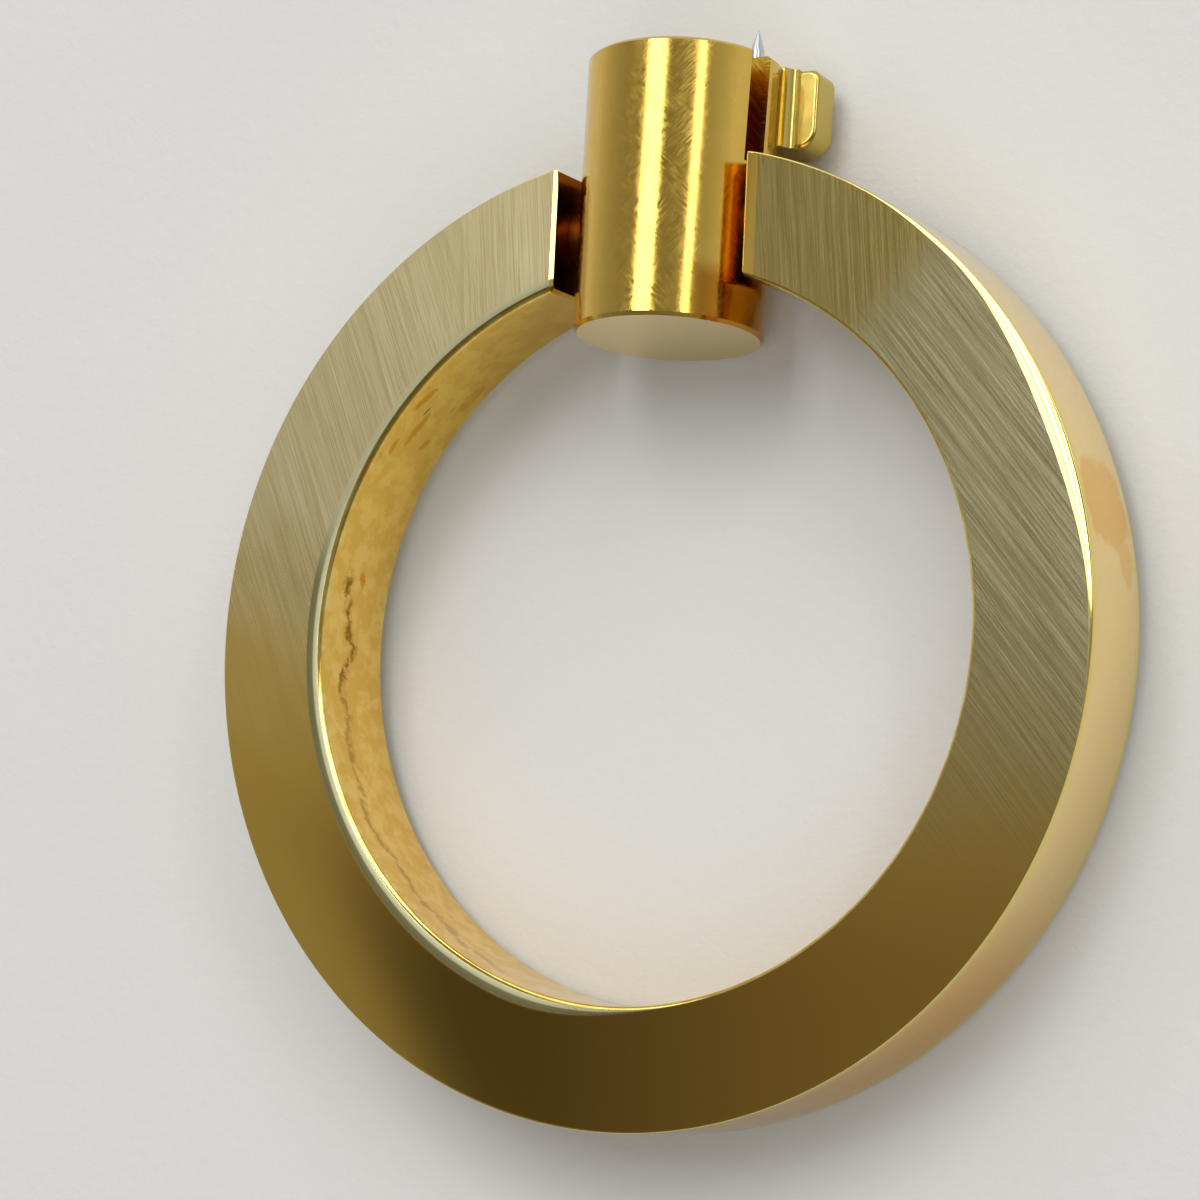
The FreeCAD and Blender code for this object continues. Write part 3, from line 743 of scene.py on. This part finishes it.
def make_ring_finish():
    material, tree, shader, place = metal_material("ring_brass", POLISHED_BRASS, 0.16)
    across, along, up = xyz(tree, place)
    radius = maths(tree, "SQRT", maths(
        tree, "ADD", maths(tree, "MULTIPLY", across, across), maths(tree, "MULTIPLY", along, along)))
    height = maths(tree, "ABSOLUTE", up)

    normal = node(tree, "ShaderNodeTexCoord").outputs["Normal"]
    flatness = maths(tree, "ABSOLUTE", xyz(tree, normal)[2])
    outer_half = step_between(tree, radius, RING_RADIUS - 6 * MM, RING_RADIUS - 5 * MM)
    face_limit = spread(tree, outer_half, INNER_FACE_FLATNESS, OUTER_FACE_FLATNESS)
    on_face = step_between(tree, flatness, face_limit, maths(tree, "ADD", face_limit, 0.002))
    off_end = step_between(tree, maths(tree, "ABSOLUTE", across), RING_END + 1.05 * MM,
                           RING_END + 1.15 * MM)
    near_post = step_between(tree, along, 15 * MM, 20 * MM)
    end_facet = maths(tree, "MULTIPLY", maths(tree, "SUBTRACT", 1.0, off_end), near_post)
    end_facet = maths(tree, "MULTIPLY", end_facet, step_between(tree, across, 0.0, 1 * MM))
    on_face = maths(tree, "MULTIPLY", on_face, maths(tree, "SUBTRACT", 1.0, end_facet))

    slant = maths(tree, "MULTIPLY_ADD", across, 0.2, along)
    fade_noise = spread(tree, blob_noise(tree, place, 120.0, 2.0), -6 * MM, 6 * MM)
    brushed = step_between(tree, maths(tree, "ADD", slant, fade_noise), -19 * MM, 8 * MM)
    low_slant = maths(tree, "MULTIPLY_ADD", across, 0.05, along)
    ruffled = step_between(tree, maths(tree, "ADD", low_slant, fade_noise), -24 * MM, 2 * MM)
    ruffled = maths(tree, "MULTIPLY", on_face, ruffled)
    inner_half = maths(tree, "SUBTRACT", 1.0, outer_half)
    rubbed = maths(tree, "MULTIPLY", step_between(tree, flatness, 0.99995, 0.9995), inner_half)
    # Painted reflection: the rubbed strip is painted dark where it is nearly flat, and a pale sheen
    # where it leans further or lies towards the post.
    sheen_band = step_between(tree, flatness, 0.9968, 0.9950)
    sheen_band = maths(tree, "MAXIMUM", sheen_band, step_between(tree, along, 4 * MM, 12 * MM))
    brushed = maths(tree, "MULTIPLY", on_face, maths(tree, "MAXIMUM", brushed, rubbed))

    by_end = step_between(tree, across, -8 * MM, 8 * MM)
    by_side = step_between(tree, maths(tree, "SUBTRACT", across, along), -8 * MM, 0 * MM)
    by_post = step_between(tree, across, -25 * MM, -12 * MM)
    strokes = 0.5
    for turn, share in ((LEFT_STROKES, 1.0), (END_STROKES, by_post), (RIGHT_STROKES, by_side)):
        laid = placed_group(tree, HAND_MARKS, Place=place, Turn=turn,
                            Spacing=STROKE_SPACING, Length=STROKE_LENGTH)["Marks"]
        strokes = float_mix(tree, share, strokes, laid)
    strokes = step_between(tree, strokes, 0.28, 0.72)

    wall = step_between(tree, radius, RING_RADIUS - RING_BAND / 2 - 1 * MM,
                        RING_RADIUS - RING_BAND / 2 + 1 * MM)
    outer_colour = blend_colours(tree, painted_reflection_patches(tree, place, across, along, up), OUTER_BRASS,
                                 REFLECTED_WALL_ORANGE)
    inner_colour = blend_colours(tree, step_between(tree, along, 2 * MM, 22 * MM), INNER_BRASS,
                                 INNER_BRASS_DEEP)
    wall_colour = blend_colours(tree, wall, inner_colour, outer_colour)
    off_wall = step_between(tree, height, RING_THICKNESS / 2 - 1.0 * MM, RING_THICKNESS / 2 - 0.3 * MM)
    # Painted highlight: edges that lean a little are painted a paler brass, as the light they catch.
    leaning = step_between(tree, flatness, 0.996, 0.985)
    colour = blend_colours(tree, leaning, POLISHED_BRASS, EDGE_HIGHLIGHT_BRASS)
    colour = blend_colours(tree, off_wall, wall_colour, colour)
    # Painted light and shade: a lighter copy of the face on the left, darker copies by the right-hand
    # end and down the right side.
    lit_left_face = blend_colours(tree, strokes, FACE_BRASS_DEEP, FACE_BRASS_PALE)
    end_face = blend_colours(tree, strokes, END_FACE_SHADE_DEEP, END_FACE_SHADE_PALE)
    shaded_side_face = blend_colours(tree, strokes, SIDE_FACE_SHADE_DEEP, SIDE_FACE_SHADE_PALE)
    face_colour = blend_colours(tree, by_end, lit_left_face, end_face)
    shaded_side_colour = blend_colours(tree, by_end, lit_left_face, shaded_side_face)
    face_colour = blend_colours(tree, by_side, face_colour, shaded_side_colour)
    rubbed_reflection_colour = blend_colours(tree, sheen_band, RUBBED_EDGE_DARK_REFLECTION, RUBBED_EDGE_SHEEN)
    face_colour = blend_colours(tree, rubbed, face_colour, rubbed_reflection_colour)
    colour = blend_colours(tree, brushed, colour, face_colour)

    orange, brown = wall_stains(tree, place, across, along, up)
    on_inner_wall = step_between(tree, radius, HOLE_RADIUS + 0.5 * MM, HOLE_RADIUS + 0.2 * MM)
    mottled = placed_group(tree, TARNISH, Place=place, Size=1.7 * MM, Cover=0.62)["Stain"]
    mottled = maths(tree, "MULTIPLY", maths(tree, "MULTIPLY", mottled, on_inner_wall), 0.7)
    colour = blend_colours(tree, mottled, colour, STAIN_TAN)
    colour = blend_colours(tree, maths(tree, "MULTIPLY", orange, on_inner_wall), colour, STAIN_ORANGE)
    colour = blend_colours(tree, maths(tree, "MULTIPLY", brown, on_inner_wall), colour, STAIN_BROWN)
    sawn = step_between(tree, maths(tree, "ABSOLUTE", xyz(tree, normal)[0]), 0.96, 0.99)
    sawn = maths(tree, "MULTIPLY", sawn, near_post)
    from_middle = maths(tree, "ABSOLUTE", across)
    sawn = maths(tree, "MULTIPLY", sawn, step_between(tree, from_middle, 15 * MM, 14 * MM))
    # Painted shade: the left sawn end is painted darker than the right, as it lies in the shaded gap.
    on_right = step_between(tree, across, -1 * MM, 1 * MM)
    sawn_colour = blend_colours(tree, on_right, SAWN_BRASS_SHADED, SAWN_BRASS)
    colour = blend_colours(tree, sawn, colour, sawn_colour)
    feed(tree, shader.inputs["Base Color"], colour)

    left_rough = spread(tree, strokes, *LEFT_ROUGHNESS)
    right_rough = spread(tree, strokes, *RIGHT_ROUGHNESS)
    brushed_rough = float_mix(tree, by_end, left_rough, right_rough)
    ruffled = maths(tree, "MAXIMUM", maths(tree, "MULTIPLY", ruffled, 0.75), brushed)
    rough = float_mix(tree, ruffled, POLISHED_ROUGHNESS, brushed_rough)
    rough = maths(tree, "MAXIMUM", rough, maths(tree, "MULTIPLY", sawn, SAWN_ROUGHNESS))
    feed(tree, shader.inputs["Roughness"], rough)

    stroke_height = maths(tree, "MULTIPLY", strokes, ruffled)
    stroke_height = maths(tree, "MULTIPLY", stroke_height, spread(tree, by_end, *STROKE_SHARES))
    feed(tree, shader.inputs["Normal"], bump(tree, stroke_height, STROKE_DEPTH))
    return material


ring = make_ring_piece()
ring.data.materials.append(make_ring_finish())
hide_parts("ring")
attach(ring, "ring_body")


# SHEET, LIGHTS AND CAMERA
# The pull lies on a sheet of heavy pale paper, in a plain room that is darker above. A row
# of tubes hangs overhead and one more to the right, two soft windows are behind the pull,
# and a darker board stands to the left.

PAPER_DULL = (0.722, 0.719, 0.694, 1.0)
PAPER_BRIGHT = (0.757, 0.754, 0.730, 1.0)
PAPER_RADIUS = 1.6
PAPER_TOOTH = 0.08 * MM
rest_level = cad_box[0][2]
bpy.ops.mesh.primitive_circle_add(vertices=96, radius=PAPER_RADIUS, fill_type="NGON",
                                  location=(0, -0.045, rest_level))
paper = bpy.context.object
paper.name = "paper"
paper_finish = bpy.data.materials.new("paper")
paper_finish.use_nodes = True
paper_tree = paper_finish.node_tree
paper_shader = paper_tree.nodes["Principled BSDF"]
paper_place = node(paper_tree, "ShaderNodeTexCoord").outputs["Object"]
paper_fibre = blob_noise(paper_tree, paper_place, 900.0, 4.0, 0.6)
paper_cloud = blob_noise(paper_tree, paper_place, 25.0, 2.0)
paper_tint = blend_colours(paper_tree, paper_cloud, PAPER_DULL, PAPER_BRIGHT)
feed(paper_tree, paper_shader.inputs["Base Color"], paper_tint)
paper_shader.inputs["Roughness"].default_value = 0.85
paper_shader.inputs["Specular IOR Level"].default_value = 0.2
feed(paper_tree, paper_shader.inputs["Normal"], bump(paper_tree, paper_fibre, PAPER_TOOTH))
paper.data.materials.append(paper_finish)

WALL_LEVEL = 0.68
CEILING_LEVEL = 0.24
WALL_FADE = 1.5
SOUTH_SHADE = 0.6
WEST_GLOW = 0.11
ROOM_COLOUR = (1.0, 0.985, 0.955, 1.0)
BOARD_COLOUR = (1.1, 0.93, 0.80, 1.0)
BOARD_EDGE = 0.676
BOARD_EDGE_LEAN = 0.583
BOARD_SHARES = (0.17, 0.56)
world = bpy.data.worlds.new("room")
scene.world = world
world.use_nodes = True
room = world.node_tree
background = room.nodes["Background"]
direction = node(room, "ShaderNodeTexCoord").outputs["Generated"]
east, north, height_up = xyz(room, direction)
height_up = maths(room, "MAXIMUM", height_up, 0.001)
lowness = maths(room, "POWER", maths(room, "SUBTRACT", 1.0, height_up, clamp=True), WALL_FADE)
room_level = maths(room, "MULTIPLY_ADD", lowness, WALL_LEVEL - CEILING_LEVEL, CEILING_LEVEL)
east_slope = maths(room, "DIVIDE", east, height_up)
north_slope = maths(room, "DIVIDE", north, height_up)
west_glow = maths(room, "MULTIPLY", step_between(room, east_slope, -0.42, -0.58),
                  step_between(room, north_slope, 0.28, 0.23))
west_glow = maths(room, "MULTIPLY", west_glow, step_between(room, north_slope, 0.02, 0.17))
south_shade = spread(room, step_between(room, north_slope, -0.12, -0.5), 1.0, 1.0 - SOUTH_SHADE)
room_level = maths(room, "MULTIPLY", south_shade, room_level)
room_level = maths(room, "MULTIPLY_ADD", west_glow, WEST_GLOW, room_level)
past_edge = maths(room, "ADD", east_slope, BOARD_EDGE)
past_edge = maths(room, "MULTIPLY_ADD", north_slope, BOARD_EDGE_LEAN, past_edge)
in_board = step_between(room, past_edge, -0.012, 0.006)
for slope, outside, inside in ((north_slope, 0.07, -0.03), (north_slope, -0.9, -0.6),
                               (east_slope, -0.12, -0.5)):
    in_board = maths(room, "MULTIPLY", in_board, step_between(room, slope, outside, inside))
board_share = spread(room, step_between(room, east_slope, -0.64, -0.45), *BOARD_SHARES)
board_share = spread(room, in_board, 1.0, board_share)
feed(room, background.inputs["Color"], blend_colours(room, in_board, ROOM_COLOUR, BOARD_COLOUR))
feed(room, background.inputs["Strength"], maths(room, "MULTIPLY", room_level, board_share))

CEILING = 2.0
LAMP_LEVEL = 5.9


def ceiling_light(name, east_slopes, north_slopes, level):
    """A flat light on the ceiling, between slopes seen from the pull."""
    data = bpy.data.lights.new(name, "AREA")
    data.shape = "RECTANGLE"
    data.size = (east_slopes[1] - east_slopes[0]) * CEILING
    data.size_y = (north_slopes[1] - north_slopes[0]) * CEILING
    data.energy = level * data.size * data.size_y * math.pi
    lamp = bpy.data.objects.new(name, data)
    lamp.location = (sum(east_slopes) / 2 * CEILING, sum(north_slopes) / 2 * CEILING, CEILING)
    scene.collection.objects.link(lamp)


TUBES = 4
TUBE_PITCH = 0.098
TUBE_WIDTH = 0.066
TUBES_MIDDLE = -0.10
TUBES_REACH = (0.09, 0.95)
RIGHT_TUBE_WIDTH = (0.90, 1.235)
RIGHT_TUBE_REACH = (0.2, 1.0)
RIGHT_TUBE_SHARE = 0.62
for i in range(TUBES):
    middle = TUBES_MIDDLE + (i - (TUBES - 1) / 2) * TUBE_PITCH
    ceiling_light(f"ceiling_tube_{i + 1}", (middle - TUBE_WIDTH / 2, middle + TUBE_WIDTH / 2),
                  TUBES_REACH, LAMP_LEVEL)
ceiling_light("right_tube", RIGHT_TUBE_WIDTH, RIGHT_TUBE_REACH, LAMP_LEVEL * RIGHT_TUBE_SHARE)


def soft_light(name, way, size, distance, level):
    """A square light that faces the pull from far off."""
    data = bpy.data.lights.new(name, "AREA")
    data.shape = "SQUARE"
    data.size = size
    data.energy = level * size ** 2 * math.pi
    lamp = bpy.data.objects.new(name, data)
    lamp.location = way.normalized() * distance
    lamp.rotation_euler = way.to_track_quat("Z", "Y").to_euler()
    scene.collection.objects.link(lamp)
    return lamp


WINDOW_SIZE = 2.2
WINDOW_DISTANCE = 4.0
soft_light("left_window", Vector((-0.42, 0.70, 0.72)), WINDOW_SIZE, WINDOW_DISTANCE, level=1.3)
soft_light("right_window", Vector((0.36, 0.68, 0.75)), WINDOW_SIZE, WINDOW_DISTANCE, level=1.8)

# A screen in front fills the paper's shadows. It is kept out of the brass's reflections.
front_fill = soft_light("front_fill", Vector((0.30, -0.55, 0.78)), size=2.6, distance=3.6, level=1.7)
front_fill.visible_glossy = False

CAMERA_PLACE = Vector((140.8, -93.3, 247.2)) * MM
CAMERA_AIM = Vector((-9.56, -43.53, -8.2)) * MM
PICTURE_UP = Vector((0.0225, 0.9837, 0.1785))
FIELD_OF_VIEW = math.radians(19.23)
camera_data = bpy.data.cameras.new("camera")
camera_data.sensor_fit = "HORIZONTAL"
camera_data.angle = FIELD_OF_VIEW
camera_data.clip_start = 0.01
camera = bpy.data.objects.new("camera", camera_data)
backward = (CAMERA_PLACE - CAMERA_AIM).normalized()
rightward = PICTURE_UP.cross(backward).normalized()
upward = backward.cross(rightward)
facing = Matrix((rightward, upward, backward)).transposed().to_4x4()
camera.matrix_world = Matrix.Translation(CAMERA_PLACE) @ facing
scene.collection.objects.link(camera)
scene.camera = camera
scene.view_settings.view_transform = "Standard"

bpy.context.view_layer.update()
